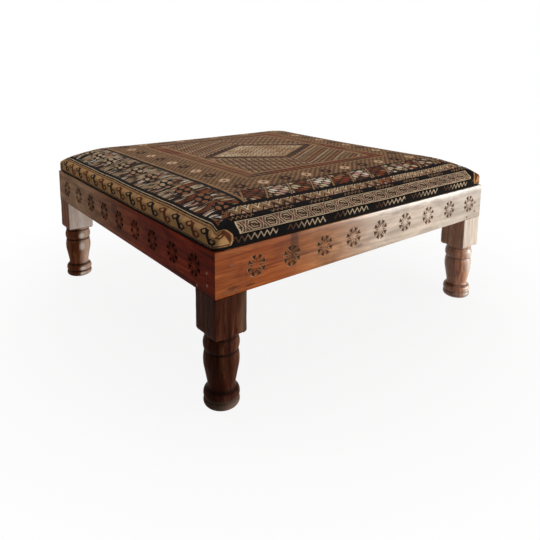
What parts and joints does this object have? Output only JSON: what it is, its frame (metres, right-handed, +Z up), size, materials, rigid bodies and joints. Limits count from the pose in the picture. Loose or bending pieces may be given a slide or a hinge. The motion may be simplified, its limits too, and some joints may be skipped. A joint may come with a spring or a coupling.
{
  "type": "upholstered ottoman",
  "caption": "Low square ottoman with a crowned kilim-covered seat on a carved rail frame and turned legs, used as a footstool, seat or coffee table.",
  "frame": {"origin": "on the floor under the middle of the seat", "axes": "+Z up, +X along the front rail to the right, +Y from the front rail to the back rail"},
  "size_m": [1.0002, 1.0002, 0.4563],
  "materials": {
    "rail_wood": "old hardwood with chip-carved rosettes, oiled and worn",
    "leg_wood": "dark turned hardwood, weathered on the block and worn grey at the foot",
    "inner_wood": "sawn softwood",
    "plywood": "raw plywood",
    "foam": "open-cell upholstery foam",
    "wadding": "soft white wadding",
    "kilim": "flat-woven wool in black, brown, rust, tan and cream",
    "iron_nail": "dark iron",
    "steel": "plain steel"
  },
  "bodies": {
    "root": {"front_rail": "rail_wood", "back_rail": "rail_wood", "left_rail": "rail_wood", "right_rail": "rail_wood", "leg_front_left": "leg_wood", "leg_front_right": "leg_wood", "leg_back_left": "leg_wood", "leg_back_right": "leg_wood", "front_cleat": "inner_wood", "back_cleat": "inner_wood", "left_batten": "inner_wood", "middle_batten": "inner_wood", "right_batten": "inner_wood", "seat_board": "plywood", "foam_pad": "foam", "wadding": "wadding", "kilim_cover": "kilim", "rail_nails": "iron_nail", "cleat_screws": "steel", "batten_screws": "steel", "seat_screws": "steel", "cover_staples": "steel"}
  },
  "joints": []
}
